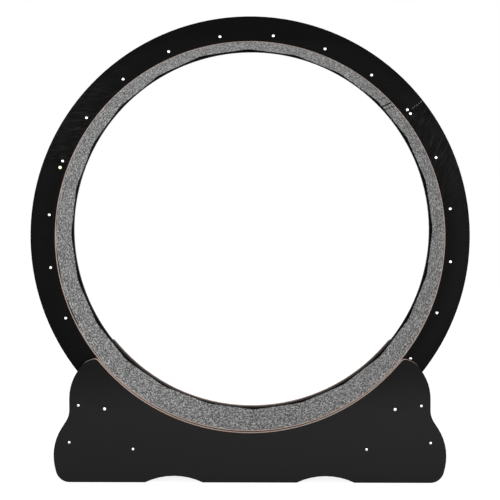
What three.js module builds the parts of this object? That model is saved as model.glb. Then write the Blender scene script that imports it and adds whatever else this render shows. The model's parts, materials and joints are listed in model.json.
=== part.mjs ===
// Cat exercise wheel: a carpeted running ring that turns on four grooved rollers in a low base.
// Millimetres, +Z up. The origin is on the floor under the middle of the ring, the ring turns
// about a line along Y, and the front of the wheel faces -Y.
import * as THREE from 'three';

// ---- Boards and clearances ----
const BOARD_THICKNESS = 15; // rims and base plates
const SEAT_GAP = 0.2; // between two pieces that are fastened or rest on each other

// ---- Ring ----
const RIM_OUTER_RADIUS = 500;
const RIM_WIDTH = 55.8; // radial width of a rim
const RING_WIDTH = 354; // over the two rims' outer faces
const RIM_SEGMENTS = 3; // pieces that make up one rim
const RIM_JOINT_ANGLE = 38.45; // degrees from +X, one of the joints between the segments
const RIM_JOINT_GAP = 0.6; // open width of a joint between two segments
const FLOOR_CLEARANCE = 58.4; // from the floor to the lowest point of a rim
const DECK_BOARD_COUNT = 24;
const DECK_BOARD_THICKNESS = 15;
const DECK_BOARD_GAP = 1; // between two deck boards, on the side that faces the middle

// ---- Carpet runner and its hook tape ----
const CARPET_RECESS = 3.4; // from the rims' inner edge out to the carpet's surface
const CARPET_THICKNESS = 4.7;
const CARPET_SIDE_GAP = 2; // between the carpet's edge and a rim
const CARPET_SEAM_ANGLE = 43.5; // degrees from +X, where the runner's two ends meet
const CARPET_SEAM_GAP = 1; // between those two ends
const CARPET_CORNER_RELIEF = 0.8; // how far the runner rounds off each corner of the deck
const TAPE_THICKNESS = 1.5;
const TAPE_WIDTH = 30;
const TAPE_INSET = 12; // from the carpet's edge to the tape

// ---- Guide rollers ----
const ROLLER_ANGLE = 40.3; // degrees from straight down, seen from the ring's centre
const ROLLER_RUNNING_GAP = 0.3; // between a rim's outer edge and the bottom of a roller's groove
const ROLLER_GROOVE_RADIUS = 10.4;
const ROLLER_SIDE_PLAY = 0.5; // between a rim's face and a roller's flange
const ROLLER_FLANGE_HEIGHT = 5.6;
const ROLLER_FLANGE_THICKNESS = 2.5;
const BEARING_OUTER_RADIUS = 6.5;
const BEARING_FIT = 0.1; // round the bearing, and between it and its bolt
const BEARING_RECESS = 0.5; // from a roller's side to the bearing
const BOLT_RADIUS = 2.5;
const BOLT_HEAD_RADIUS = 3.6;
const BOLT_HEAD_FLAT_RADIUS = 2.5; // the flat on top of the domed head
const BOLT_HEAD_HEIGHT = 1.2;
const BOLT_HOLE_FIT = 0.3; // round the bolt in its plate, spacer and nut
const BOLT_TAIL = 1.5; // bolt that shows past the nut
const SPACER_WALL = 2;
const NUT_SIDES = 6;
const NUT_ACROSS_FLATS = 8;
const NUT_HEIGHT = 4;

// ---- Base ----
const PLATE_GAP = 8; // between a rim and the base plate beside it
const CRADLE_LIP = 2.5; // how far a plate's cradle stands inside the rims' inner edge
const CRADLE_DROP = 2.8; // from the ring's centre down to the cradle's
const CRADLE_HALF_ANGLE = 49.4; // degrees from straight down to where the cradle ends in an ear
const EAR_TIP_RISE = 16.5; // from the cradle's end up to the ear's inner corner
const EAR_TIP_RADIUS = 12;
const EAR_TOP_WIDTH = 26.5; // between the ear's inner and outer corners
const EAR_TOP_FALL = 8.5;
const EAR_TOP_RADIUS = 40;
const EAR_WIDTH = 75.8; // from the cradle's end out to the ear's side
const EAR_SHOULDER_FALL = 46.5; // from the ear's outer corner down to its side
const EAR_SIDE_RADIUS = 111;
const WAIST_HEIGHT = 152.5;
const WAIST_RADIUS = 49;
const LOBE_PROJECTION = 36.5; // how far the lower lobe stands out past the ear
const LOBE_SHOULDER_HEIGHT = 96;
const LOBE_RADIUS = 128;
const LOBE_FOOT_HEIGHT = 42;
const LOBE_FOOT_RADIUS = 149;
const FOOT_INSET = 12.5; // from the lobe's side in to the foot's corner
const FOOT_RADIUS = 35;
const ARCH_CENTRE = 173; // from the middle of a plate to the middle of an arch under it
const ARCH_WIDTH = 132;
const ARCH_HEIGHT = 15;
const END_BOARD_TOP_INSET = 20; // from the ear's side to the end board's upper screw
const END_BOARD_TOP_HEIGHT = 174.5; // of that screw
const END_BOARD_FOOT_INSET = 35.5; // from the lobe's side to the lower screw
const END_BOARD_FOOT_HEIGHT = 90; // of that screw
const END_BOARD_MARGIN = 26; // of board past each screw
const RAIL_SIZE = 30; // side of a cross rail's square section
const RAIL_DROP = 93.9; // from the roller's bolt down to the rail's screw
const RAIL_INSET = 63.5; // from the roller's bolt in to the rail's screw

// ---- Worked out from the above ----
const AXLE_HEIGHT = FLOOR_CLEARANCE + RIM_OUTER_RADIUS;
const RIM_INNER_RADIUS = RIM_OUTER_RADIUS - RIM_WIDTH;
const RIM_OUTER_FACE = RING_WIDTH / 2;
const RIM_INNER_FACE = RIM_OUTER_FACE - BOARD_THICKNESS;
const PLATE_INNER_FACE = RIM_OUTER_FACE + PLATE_GAP;
const PLATE_OUTER_FACE = PLATE_INNER_FACE + BOARD_THICKNESS;
const CARPET_SURFACE = RIM_INNER_RADIUS + CARPET_RECESS;
const CARPET_BACK = CARPET_SURFACE + CARPET_THICKNESS;
const TAPE_FACE = CARPET_BACK + SEAT_GAP / 2;
const TAPE_BACK = TAPE_FACE + TAPE_THICKNESS;
const DECK_SURFACE = TAPE_BACK + SEAT_GAP / 2;
const CARPET_HALF_WIDTH = RIM_INNER_FACE - CARPET_SIDE_GAP;
const BOARD_PITCH = 360 / DECK_BOARD_COUNT;
const ROLLER_CENTRE_RADIUS = RIM_OUTER_RADIUS + ROLLER_RUNNING_GAP + ROLLER_GROOVE_RADIUS;
const ROLLER_X = ROLLER_CENTRE_RADIUS * Math.sin(radians(ROLLER_ANGLE));
const ROLLER_Z = AXLE_HEIGHT - ROLLER_CENTRE_RADIUS * Math.cos(radians(ROLLER_ANGLE));
const ROLLER_OUTER_SIDE = RIM_OUTER_FACE + ROLLER_SIDE_PLAY + ROLLER_FLANGE_THICKNESS;
const ROLLER_INNER_SIDE = RIM_INNER_FACE - ROLLER_SIDE_PLAY - ROLLER_FLANGE_THICKNESS;
const NUT_FACE = ROLLER_INNER_SIDE - SEAT_GAP;
const BOLT_HOLE_RADIUS = BOLT_RADIUS + BOLT_HOLE_FIT;

// ---- Steps of the round shapes, in degrees or in sides ----
const RIM_STEP = 2.5;
const CRADLE_STEP = 3;
const CORNER_STEP = 7;
const HOLE_SIDES = 16;
const ROUND_SIDES = 24;

// ---- Finishes ----
const rimFinish = finish(0x121212, 0.5, 0);
const plateFinish = finish(0x242424, 0.5, 0);
const deckFinish = finish(0x161616, 0.5, 0);
const railFinish = finish(0x1c1c1c, 0.7, 0);
const carpetFinish = finish(0x7d7d7d, 0.95, 0);
const tapeFinish = finish(0x0e0e0e, 0.9, 0);
const rollerFinish = finish(0xd9d7cf, 0.45, 0);
const steelFinish = finish(0xc9c9c9, 0.3, 1);

function finish(color, roughness, metalness) {
  return new THREE.MeshStandardMaterial({ color, roughness, metalness });
}

function radians(degrees) {
  return (degrees * Math.PI) / 180;
}

function degrees(angle) {
  return (angle * 180) / Math.PI;
}

/** A point of a front view, from its distance and direction from a centre. */
function polar(radius, angle, centreX = 0, centreZ = 0) {
  const turn = radians(angle);
  return new THREE.Vector2(centreX + radius * Math.cos(turn), centreZ + radius * Math.sin(turn));
}

/** Points along an arc, ends included, in steps no longer than the one given. */
function arc(radius, from, to, step, centreX = 0, centreZ = 0) {
  const count = Math.max(1, Math.ceil(Math.abs(to - from) / step));
  const points = [];
  for (let i = 0; i <= count; i += 1) {
    points.push(polar(radius, from + ((to - from) * i) / count, centreX, centreZ));
  }
  return points;
}

/** The corners of a regular outline, without its first point again at the end. */
function closedCircle(radius, sides, centreX = 0, centreZ = 0) {
  const step = 360 / sides;
  return arc(radius, 0, 360 - step, step, centreX, centreZ);
}

/** A board cut to a front-view outline, from one face at a place along Y to the other. */
function boardBetween(name, outline, holes, nearFace, farFace, material) {
  const shape = new THREE.Shape(outline);
  shape.holes = holes.map((points) => new THREE.Path(points));
  const depth = farFace - nearFace;
  const geometry = new THREE.ExtrudeGeometry(shape, { depth, bevelEnabled: false });
  const mesh = new THREE.Mesh(geometry, material);
  mesh.name = name;
  mesh.rotation.x = Math.PI / 2; // the outline's second axis becomes +Z, and its depth -Y
  mesh.position.y = farFace;
  return mesh;
}

/** A round piece whose axis lies along Y, from a closed profile of [radius, place along Y]. */
function turned(name, profile, sides, material) {
  const points = profile.map(([radius, y]) => new THREE.Vector2(radius, y));
  const mesh = new THREE.Mesh(new THREE.LatheGeometry(points, sides), material);
  mesh.name = name;
  return mesh;
}

/** A profile's rectangle between two radii and two places along Y, closed on itself. */
function ringProfile(innerRadius, outerRadius, low, high) {
  return [
    [innerRadius, low],
    [outerRadius, low],
    [outerRadius, high],
    [innerRadius, high],
    [innerRadius, low],
  ];
}

// ---- The ring ----

function rimSegment(name, index, nearFace, farFace) {
  const span = 360 / RIM_SEGMENTS;
  const start = RIM_JOINT_ANGLE + index * span;
  const outerCut = degrees(RIM_JOINT_GAP / 2 / RIM_OUTER_RADIUS);
  const innerCut = degrees(RIM_JOINT_GAP / 2 / RIM_INNER_RADIUS);
  const outline = [
    ...arc(RIM_OUTER_RADIUS, start + outerCut, start + span - outerCut, RIM_STEP),
    ...arc(RIM_INNER_RADIUS, start + span - innerCut, start + innerCut, RIM_STEP),
  ];
  return boardBetween(name, outline, [], nearFace, farFace, rimFinish);
}

function deckBoard(index) {
  const width = 2 * DECK_SURFACE * Math.tan(radians(BOARD_PITCH / 2)) - DECK_BOARD_GAP;
  const length = 2 * (RIM_INNER_FACE - SEAT_GAP);
  const board = new THREE.Mesh(
    new THREE.BoxGeometry(DECK_BOARD_THICKNESS, length, width),
    deckFinish,
  );
  board.name = `deck_board_${String(index + 1).padStart(2, '0')}`;
  board.position.x = DECK_SURFACE + DECK_BOARD_THICKNESS / 2;
  const spoke = new THREE.Group();
  spoke.rotation.y = -radians(RIM_JOINT_ANGLE + index * BOARD_PITCH);
  spoke.add(board);
  return spoke;
}

/** Points along the deck's flats, at a distance from the centre, from one end of the seam round to
 * the other. The corner between two boards is cut short at a largest radius. */
function deckLine(flatRadius, cornerRadius) {
  const openHalf = degrees(CARPET_SEAM_GAP / 2 / flatRadius);
  const first = CARPET_SEAM_ANGLE + openHalf;
  const last = CARPET_SEAM_ANGLE + 360 - openHalf;
  const shoulder = degrees(Math.acos(flatRadius / cornerRadius));
  const angles = [first, last];
  for (let i = 0; i <= 2 * DECK_BOARD_COUNT; i += 1) {
    const middle = RIM_JOINT_ANGLE + i * BOARD_PITCH;
    angles.push(middle - shoulder, middle + shoulder, middle + BOARD_PITCH / 2);
  }
  const used = angles.filter((angle) => angle >= first && angle <= last);
  used.sort((a, b) => a - b);
  return used.map((angle) => {
    const turn = angle - RIM_JOINT_ANGLE;
    const offBoard = turn - BOARD_PITCH * Math.round(turn / BOARD_PITCH);
    return polar(Math.min(flatRadius / Math.cos(radians(offBoard)), cornerRadius), angle);
  });
}

/** A strip of even thickness that lines the deck all round, apart from its seam. */
function deckLining(name, faceRadius, backRadius, relief, nearEdge, farEdge, material) {
  const corner = 1 / Math.cos(radians(BOARD_PITCH / 2));
  const outline = [
    ...deckLine(backRadius, backRadius * corner - relief),
    ...deckLine(faceRadius, faceRadius * corner - relief).reverse(),
  ];
  return boardBetween(name, outline, [], nearEdge, farEdge, material);
}

function ring() {
  const group = new THREE.Group();
  for (let i = 0; i < RIM_SEGMENTS; i += 1) {
    group.add(rimSegment(`front_rim_segment_${i + 1}`, i, -RIM_OUTER_FACE, -RIM_INNER_FACE));
    group.add(rimSegment(`rear_rim_segment_${i + 1}`, i, RIM_INNER_FACE, RIM_OUTER_FACE));
  }
  for (let i = 0; i < DECK_BOARD_COUNT; i += 1) {
    group.add(deckBoard(i));
  }
  const tapeEdge = CARPET_HALF_WIDTH - TAPE_INSET;
  const tapeRelief = SEAT_GAP / 2;
  group.add(
    deckLining('hook_tape_front', TAPE_FACE, TAPE_BACK, tapeRelief, -tapeEdge, TAPE_WIDTH - tapeEdge,
      tapeFinish),
    deckLining('hook_tape_rear', TAPE_FACE, TAPE_BACK, tapeRelief, tapeEdge - TAPE_WIDTH, tapeEdge,
      tapeFinish),
    deckLining('carpet_runner', CARPET_SURFACE, CARPET_BACK, CARPET_CORNER_RELIEF,
      -CARPET_HALF_WIDTH, CARPET_HALF_WIDTH, carpetFinish),
  );
  group.position.z = AXLE_HEIGHT;
  return group;
}

// ---- The guide rollers ----

/** One roller with its bearing, bolt, spacer and nut, for the front left corner of the base. */
function guideRoller(corner) {
  const flangeRadius = ROLLER_GROOVE_RADIUS + ROLLER_FLANGE_HEIGHT;
  const grooveOuter = -RIM_OUTER_FACE - ROLLER_SIDE_PLAY;
  const grooveInner = -RIM_INNER_FACE + ROLLER_SIDE_PLAY;
  const roller = turned(`${corner}_roller`, [
    [BEARING_OUTER_RADIUS, -ROLLER_OUTER_SIDE],
    [flangeRadius, -ROLLER_OUTER_SIDE],
    [flangeRadius, grooveOuter],
    [ROLLER_GROOVE_RADIUS, grooveOuter],
    [ROLLER_GROOVE_RADIUS, grooveInner],
    [flangeRadius, grooveInner],
    [flangeRadius, -ROLLER_INNER_SIDE],
    [BEARING_OUTER_RADIUS, -ROLLER_INNER_SIDE],
    [BEARING_OUTER_RADIUS, -ROLLER_OUTER_SIDE],
  ], ROUND_SIDES, rollerFinish);
  const bearing = turned(`${corner}_bearing`, ringProfile(
    BOLT_RADIUS + BEARING_FIT,
    BEARING_OUTER_RADIUS - BEARING_FIT,
    -ROLLER_OUTER_SIDE + BEARING_RECESS,
    -ROLLER_INNER_SIDE - BEARING_RECESS,
  ), ROUND_SIDES, steelFinish);
  const spacer = turned(`${corner}_spacer`, ringProfile(
    BOLT_HOLE_RADIUS,
    BOLT_HOLE_RADIUS + SPACER_WALL,
    -PLATE_INNER_FACE + SEAT_GAP,
    -ROLLER_OUTER_SIDE - SEAT_GAP,
  ), ROUND_SIDES, steelFinish);
  const headBase = -PLATE_OUTER_FACE - SEAT_GAP;
  const headTop = headBase - BOLT_HEAD_HEIGHT;
  const bolt = turned(`${corner}_bolt`, [
    [0, headTop],
    [BOLT_HEAD_FLAT_RADIUS, headTop],
    [BOLT_HEAD_RADIUS, headBase - BOLT_HEAD_HEIGHT / 2],
    [BOLT_HEAD_RADIUS, headBase],
    [BOLT_RADIUS, headBase],
    [BOLT_RADIUS, -NUT_FACE + NUT_HEIGHT + BOLT_TAIL],
    [0, -NUT_FACE + NUT_HEIGHT + BOLT_TAIL],
  ], ROUND_SIDES, steelFinish);
  const nutCorner = NUT_ACROSS_FLATS / 2 / Math.cos(Math.PI / NUT_SIDES);
  const nut = boardBetween(
    `${corner}_nut`,
    closedCircle(nutCorner, NUT_SIDES),
    [closedCircle(BOLT_HOLE_RADIUS, HOLE_SIDES)],
    -NUT_FACE,
    -NUT_FACE + NUT_HEIGHT,
    steelFinish,
  );
  const group = new THREE.Group();
  group.add(roller, bearing, spacer, bolt, nut);
  return group;
}

// ---- The base ----

/** The outline's points with each corner rounded to its own radius, or to what its sides leave. */
function roundedCorners(corners) {
  const points = corners.map(([x, z]) => new THREE.Vector2(x, z));
  const side = (i) => points[i + 1].clone().sub(points[i]);
  const turnAt = (i) => Math.abs(sharpAngle(side(i - 1), side(i)));
  const wanted = corners.map(([, , radius], i) => (
    radius > 0 ? radius * Math.tan(turnAt(i) / 2) : 0
  ));
  const rounded = [];
  for (let i = 0; i < points.length; i += 1) {
    if (wanted[i] === 0) {
      rounded.push(points[i]);
      continue;
    }
    const before = side(i - 1).length() / (wanted[i - 1] + wanted[i]);
    const after = side(i).length() / (wanted[i] + wanted[i + 1]);
    const length = wanted[i] * Math.min(1, before, after);
    const start = points[i].clone().addScaledVector(side(i - 1).normalize(), -length);
    const end = points[i].clone().addScaledVector(side(i).normalize(), length);
    rounded.push(...cornerArc(start, points[i], end, turnAt(i)));
  }
  return rounded;
}

/** The signed angle from one direction to the next. */
function sharpAngle(from, to) {
  return Math.atan2(from.x * to.y - from.y * to.x, from.dot(to));
}

/** The arc that touches both sides of a corner at the start and end given. */
function cornerArc(start, corner, end, turn) {
  const count = Math.max(2, Math.ceil(degrees(turn) / CORNER_STEP));
  const radius = start.distanceTo(corner) / Math.tan(turn / 2);
  const middle = start.clone().add(end).multiplyScalar(0.5);
  const centre = middle.clone().sub(corner).normalize()
    .multiplyScalar(radius / Math.cos(turn / 2)).add(corner);
  const first = start.clone().sub(centre);
  const sweep = sharpAngle(first, end.clone().sub(centre));
  const points = [];
  for (let i = 0; i <= count; i += 1) {
    points.push(first.clone().rotateAround(new THREE.Vector2(), (sweep * i) / count).add(centre));
  }
  return points;
}

const cradleRadius = RIM_INNER_RADIUS - CRADLE_LIP;
const cradleCentre = AXLE_HEIGHT - CRADLE_DROP;
const cradleEnd = polar(cradleRadius, CRADLE_HALF_ANGLE - 90, 0, cradleCentre);
const earSide = cradleEnd.x + EAR_WIDTH;
const lobeSide = earSide + LOBE_PROJECTION;

/** The right-hand side of a base plate, from the cradle's end over the ear and down to the arch. */
function plateSide() {
  const tipX = cradleEnd.x + EAR_TIP_RISE / Math.tan(radians(CRADLE_HALF_ANGLE));
  const tipZ = cradleEnd.y + EAR_TIP_RISE;
  const topX = tipX + EAR_TOP_WIDTH;
  const topZ = tipZ - EAR_TOP_FALL;
  return roundedCorners([
    [cradleEnd.x, cradleEnd.y, 0],
    [tipX, tipZ, EAR_TIP_RADIUS],
    [topX, topZ, EAR_TOP_RADIUS],
    [earSide, topZ - EAR_SHOULDER_FALL, EAR_SIDE_RADIUS],
    [earSide, WAIST_HEIGHT, WAIST_RADIUS],
    [lobeSide, LOBE_SHOULDER_HEIGHT, LOBE_RADIUS],
    [lobeSide, LOBE_FOOT_HEIGHT, LOBE_FOOT_RADIUS],
    [lobeSide - FOOT_INSET, 0, FOOT_RADIUS],
    [ARCH_CENTRE + ARCH_WIDTH / 2, 0, 0],
  ]);
}

/** The arch under a plate's right-hand half, from its outer foot to its inner one. */
function archPoints() {
  const half = ARCH_WIDTH / 2;
  const radius = (half * half + ARCH_HEIGHT * ARCH_HEIGHT) / (2 * ARCH_HEIGHT);
  const spread = degrees(Math.asin(half / radius));
  return arc(radius, 90 - spread, 90 + spread, CORNER_STEP, ARCH_CENTRE, ARCH_HEIGHT - radius);
}

function basePlate(name, nearFace, farFace) {
  const right = [...plateSide().slice(1, -1), ...archPoints()];
  const left = right.map((point) => new THREE.Vector2(-point.x, point.y)).reverse();
  const cradle = arc(
    cradleRadius,
    -90 - CRADLE_HALF_ANGLE,
    -90 + CRADLE_HALF_ANGLE,
    CRADLE_STEP,
    0,
    cradleCentre,
  );
  const outline = [...cradle, ...right, ...left];
  const holes = [-ROLLER_X, ROLLER_X].map((x) => (
    closedCircle(BOLT_HOLE_RADIUS, HOLE_SIDES, x, ROLLER_Z)
  ));
  return boardBetween(name, outline, holes, nearFace, farFace, plateFinish);
}

/** A cross member between the two base plates, with its section centred on a front-view point. */
function crossMember(name, x, z, thickness, height, lean, material) {
  const length = 2 * (PLATE_INNER_FACE - SEAT_GAP);
  const member = new THREE.Mesh(new THREE.BoxGeometry(thickness, length, height), material);
  member.name = name;
  member.position.set(x, 0, z);
  member.rotation.y = lean;
  return member;
}

function crossMembers() {
  const top = new THREE.Vector2(earSide - END_BOARD_TOP_INSET, END_BOARD_TOP_HEIGHT);
  const foot = new THREE.Vector2(lobeSide - END_BOARD_FOOT_INSET, END_BOARD_FOOT_HEIGHT);
  const height = top.distanceTo(foot) + 2 * END_BOARD_MARGIN;
  const lean = Math.atan2(top.x - foot.x, top.y - foot.y);
  const middle = top.clone().add(foot).multiplyScalar(0.5);
  const railX = ROLLER_X - RAIL_INSET;
  const railZ = ROLLER_Z - RAIL_DROP;
  const members = [];
  for (const [side, sign] of [['left', -1], ['right', 1]]) {
    members.push(
      crossMember(`${side}_end_board`, sign * middle.x, middle.y, BOARD_THICKNESS, height,
        sign * lean, plateFinish),
      crossMember(`${side}_cross_rail`, sign * railX, railZ, RAIL_SIZE, RAIL_SIZE, 0, railFinish),
    );
  }
  return members;
}

function base() {
  const group = new THREE.Group();
  group.add(
    basePlate('front_base_plate', -PLATE_OUTER_FACE, -PLATE_INNER_FACE),
    basePlate('rear_base_plate', PLATE_INNER_FACE, PLATE_OUTER_FACE),
    ...crossMembers(),
  );
  for (const [corner, sign, turn] of [
    ['front_left', -1, 0],
    ['front_right', 1, 0],
    ['rear_left', -1, Math.PI],
    ['rear_right', 1, Math.PI],
  ]) {
    const roller = guideRoller(corner);
    roller.position.set(sign * ROLLER_X, 0, ROLLER_Z);
    roller.rotation.z = turn; // half a turn about the vertical sets it at the rear plate
    group.add(roller);
  }
  return group;
}

const wheel = new THREE.Group();
wheel.add(ring(), base());

export default wheel;
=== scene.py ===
"""The looks of a cat exercise wheel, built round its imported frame.

A carpeted ring of two board rims and 24 deck boards turns on four grooved rollers in a low
base of two lobed plates. All lengths are in metres, +Z is up, and the front of the wheel
faces -Y. Shapes take their sizes and places from the frame's nodes and joints.
"""

from __future__ import annotations

import json
import logging
import random
from dataclasses import dataclass, replace
from enum import Enum
from math import asin, atan2, copysign, cos, exp, pi, radians, remainder, sin, sqrt, tau
from typing import Any, Callable, Iterable, Sequence

import bmesh
import bpy
from mathutils import Matrix, Vector
from mathutils.geometry import tessellate_polygon

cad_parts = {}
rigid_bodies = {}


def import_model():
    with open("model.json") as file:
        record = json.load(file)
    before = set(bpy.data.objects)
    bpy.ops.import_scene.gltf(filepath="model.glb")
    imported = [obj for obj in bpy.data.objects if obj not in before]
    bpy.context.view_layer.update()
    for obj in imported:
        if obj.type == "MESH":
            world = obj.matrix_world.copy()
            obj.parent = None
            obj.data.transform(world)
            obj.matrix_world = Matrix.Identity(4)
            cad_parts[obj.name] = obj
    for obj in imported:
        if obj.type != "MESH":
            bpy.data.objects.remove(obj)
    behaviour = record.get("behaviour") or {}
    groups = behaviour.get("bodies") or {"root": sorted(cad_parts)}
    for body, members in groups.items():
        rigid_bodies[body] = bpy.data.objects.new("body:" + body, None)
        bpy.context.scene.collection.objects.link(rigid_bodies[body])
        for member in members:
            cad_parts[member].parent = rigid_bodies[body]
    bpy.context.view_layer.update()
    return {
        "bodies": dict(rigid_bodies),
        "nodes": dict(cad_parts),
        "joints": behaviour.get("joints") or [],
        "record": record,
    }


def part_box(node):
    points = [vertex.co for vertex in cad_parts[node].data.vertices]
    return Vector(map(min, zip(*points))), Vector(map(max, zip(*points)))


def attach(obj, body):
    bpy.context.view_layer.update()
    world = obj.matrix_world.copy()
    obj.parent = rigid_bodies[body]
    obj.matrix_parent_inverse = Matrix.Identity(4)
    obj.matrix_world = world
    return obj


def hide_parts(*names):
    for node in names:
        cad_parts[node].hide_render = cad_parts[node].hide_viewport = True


log = logging.getLogger("cat_wheel")

MM = 0.001
MERGE_DISTANCE = 0.01 * MM
SHARP_ANGLE = radians(35)
FACING = 0.99  # how much of a face's normal lies along an axis that the face looks along
MIX_START, MIX_END, MIX_RESULT = 6, 7, 2  # the colour sockets of a Mix node, by number

Colour = tuple[float, float, float, float]
Triple = tuple[float, float, float]
Piece = bpy.types.Object


def linked(name: str, data: bpy.types.ID) -> Piece:
    """A new object of the scene."""
    made = bpy.data.objects.new(name, data)
    bpy.context.scene.collection.objects.link(made)
    return made


def srgb(red: int, green: int, blue: int) -> Colour:
    """A colour given as 0 to 255 screen values, as the linear one that shaders use."""

    def linear(value: int) -> float:
        """One screen value as a linear share."""
        share = value / 255
        return share / 12.92 if share <= 0.04045 else ((share + 0.055) / 1.055) ** 2.4

    return (linear(red), linear(green), linear(blue), 1.0)


def grey(value: int) -> Colour:
    """A neutral colour from one 0 to 255 screen value."""
    return srgb(value, value, value)


def shaded(colour: Colour, factor: float) -> Colour:
    """The same colour, darker or lighter by a factor."""
    return (colour[0] * factor, colour[1] * factor, colour[2] * factor, colour[3])


# ---- Shader graphs ----


class Wire:
    """A shader socket that takes part in arithmetic. Each operation adds one Math node."""

    def __init__(self, graph: Graph, socket: bpy.types.NodeSocket | None) -> None:
        """Wraps an output socket of a graph's node."""
        self.graph = graph
        self.socket = socket

    def calculated(self, operation: str, *values: Wire | float, clamp: bool = False) -> Wire:
        """The result of a Math node on the values given, in order."""
        settings = {"operation": operation, "use_clamp": clamp}
        return self.graph.add("ShaderNodeMath", settings, dict(enumerate(values)))

    @staticmethod
    def _operator(operation: str, reflected: bool = False) -> Callable[[Wire, Wire | float], Wire]:
        """An operator that stands before, or after, the other value."""

        def operate(wire: Wire, other: Wire | float) -> Wire:
            """The result of the operation on the two values."""
            values = (other, wire) if reflected else (wire, other)
            return wire.calculated(operation, *values)

        return operate

    __add__, __radd__ = _operator("ADD"), _operator("ADD", reflected=True)
    __sub__, __rsub__ = _operator("SUBTRACT"), _operator("SUBTRACT", reflected=True)
    __mul__, __rmul__ = _operator("MULTIPLY"), _operator("MULTIPLY", reflected=True)
    __truediv__, __rtruediv__ = _operator("DIVIDE"), _operator("DIVIDE", reflected=True)

    def direction(self, across: Wire) -> Wire:
        """The angle of a point from its height, self, and how far across it lies."""
        return self.calculated("ARCTAN2", self, across)

    def clamped(self) -> Wire:
        """self, held between 0 and 1."""
        return self.calculated("ADD", self, 0.0, clamp=True)

    def rise(self, start: float, end: float) -> Wire:
        """0 at start and 1 at end, which may be below it, with a smooth step between them."""
        low, high = min(start, end), max(start, end)
        step = self.graph.add(
            "ShaderNodeMapRange",
            {"interpolation_type": "SMOOTHSTEP"},
            {"Value": self, "From Min": low, "From Max": high},
        )
        return step if start < end else 1.0 - step


class Graph:
    """The node graph of one material or of the world."""

    def __init__(self, tree: bpy.types.NodeTree) -> None:
        """Empties a node tree and keeps it."""
        self.tree = tree
        tree.nodes.clear()

    def add(
        self,
        kind: str,
        settings: dict[str, Any] | None = None,
        sockets: dict[str | int, Any] | None = None,
        output: str | int = 0,
    ) -> Wire:
        """Adds a node of any type.

        Args:
            kind: the node's type name.
            settings: the node's own properties.
            sockets: the value, or the Wire to link, of each input by name or number.
            output: the name or number of the output to return.

        Returns:
            The output, or an empty Wire for a node without one.
        """
        node = self.tree.nodes.new(kind)
        for name, value in (settings or {}).items():
            setattr(node, name, value)
        for name, value in (sockets or {}).items():
            if isinstance(value, Wire):
                self.tree.links.new(value.socket, node.inputs[name])
            else:
                node.inputs[name].default_value = value
        return Wire(self, node.outputs[output] if node.outputs else None)

    def place(self, turn: float = 0.0) -> Wire:
        """A point of the surface, in metres, in its object's own axes or in turned ones.

        Args:
            turn: how far the axes are turned about their Y, from X towards Z.

        Returns:
            The point.
        """
        place = self.add("ShaderNodeTexCoord", output="Object")
        if not turn:
            return place
        about_y = {"Vector": place, "Rotation": (0.0, -turn, 0.0)}
        return self.add("ShaderNodeMapping", {"vector_type": "TEXTURE"}, about_y)

    def parts(self, vector: Wire) -> tuple[Wire, Wire, Wire]:
        """The three numbers of a vector."""
        split = self.add("ShaderNodeSeparateXYZ", sockets={"Vector": vector})
        outputs = split.socket.node.outputs
        return tuple(Wire(self, outputs[axis]) for axis in "XYZ")

    def vector(self, x: Wire | float, y: Wire | float, z: Wire | float) -> Wire:
        """A vector of three numbers."""
        return self.add("ShaderNodeCombineXYZ", sockets={"X": x, "Y": y, "Z": z})

    def stretched(self, vector: Wire, factors: Triple) -> Wire:
        """A vector with each of its numbers multiplied by its own factor."""
        return self.add("ShaderNodeVectorMath", {"operation": "MULTIPLY"}, {0: vector, 1: factors})

    def noise(self, vector: Wire, scale: float, detail: float = 2.0, rough: float = 0.5) -> Wire:
        """Soft noise from 0 to 1."""
        sockets = {"Vector": vector, "Scale": scale, "Detail": detail, "Roughness": rough}
        return self.add("ShaderNodeTexNoise", None, sockets)

    def cells(self, vector: Wire, scale: float, output: str = "Distance") -> Wire:
        """Cells of random places: the distance to their middles, or their own random colour."""
        return self.add("ShaderNodeTexVoronoi", None, {"Vector": vector, "Scale": scale}, output)

    def mix(self, share: Wire | float, start: Wire | Colour, end: Wire | Colour) -> Wire:
        """A colour between two others."""
        sockets = {0: share, MIX_START: start, MIX_END: end}
        return self.add("ShaderNodeMix", {"data_type": "RGBA"}, sockets, MIX_RESULT)

    def looking(self) -> Wire:
        """1 for a ray that sees a background, and 0 for one that only carries light.

        A background is seen from the camera, in a reflection or through glass.
        """
        path = self.add("ShaderNodeLightPath", output="Is Camera Ray")
        outputs = path.socket.node.outputs
        glossy = Wire(self, outputs["Is Glossy Ray"])
        through = Wire(self, outputs["Is Transmission Ray"])
        return (path + glossy + through).clamped()

    def bump(self, height: Wire, depth: float) -> Wire:
        """A normal that a height from 0 to 1 bends, with its full depth in metres."""
        return self.add("ShaderNodeBump", None, {"Height": height, "Distance": depth}, "Normal")

    def surface(self, **sockets: Any) -> None:
        """A Principled shader on the output, with its sockets' names in words joined by _."""
        named = {
            name.replace("_", " ").replace("Ior", "IOR"): value for name, value in sockets.items()
        }
        self.finish(self.add("ShaderNodeBsdfPrincipled", None, named))

    def finish(self, shader: Wire, kind: str = "ShaderNodeOutputMaterial") -> None:
        """Links a shader to the output of the material, or of the world."""
        self.add(kind, None, {"Surface": shader})


@dataclass(frozen=True)
class Finish:
    """A surface finish. Each kind of finish draws its own nodes."""

    name: str

    def draw(self, graph: Graph) -> None:
        """Adds the finish's nodes to a material's empty graph."""
        raise NotImplementedError

    def material(self) -> bpy.types.Material:
        """The Blender material of this finish, made the first time that it is asked for."""
        found = bpy.data.materials.get(self.name)
        if found is None:
            found = bpy.data.materials.new(self.name)
            found.use_nodes = True
            self.draw(Graph(found.node_tree))
        return found


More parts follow.
